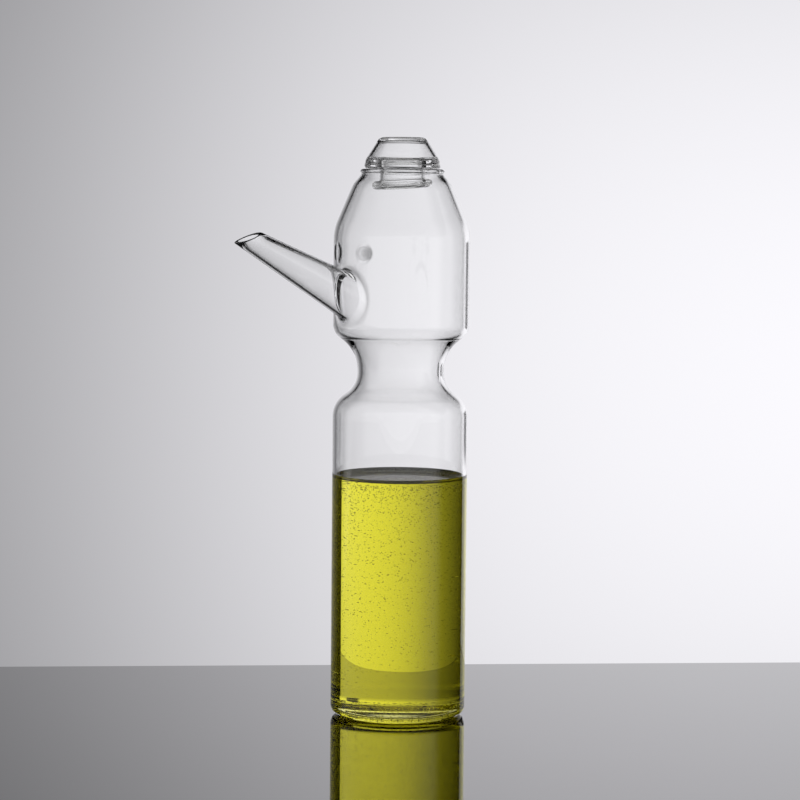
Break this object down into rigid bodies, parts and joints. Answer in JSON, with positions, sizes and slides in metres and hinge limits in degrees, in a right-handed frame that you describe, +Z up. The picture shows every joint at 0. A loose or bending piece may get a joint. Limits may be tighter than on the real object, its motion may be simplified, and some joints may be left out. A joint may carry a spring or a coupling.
{
  "type": "glass oil cruet",
  "caption": "Waisted round glass bottle with a slanting pouring spout and a hollow glass stopper, filled with olive oil to the middle of its lower chamber.",
  "frame": {"origin": "middle of the flat base, on the surface that the cruet stands on", "axes": "+Z up along the bottle's axis, -X towards the spout, +Y to the spout's right as seen from the bottle's axis"},
  "size_m": [0.1188, 0.0602, 0.2566],
  "materials": {
    "bottle_glass": "clear, polished",
    "stopper_glass": "clear, polished",
    "oil": "clear yellow-green liquid"
  },
  "bodies": {
    "root": {"bottle": "bottle_glass", "stopper": "stopper_glass", "oil": "oil"}
  },
  "joints": []
}
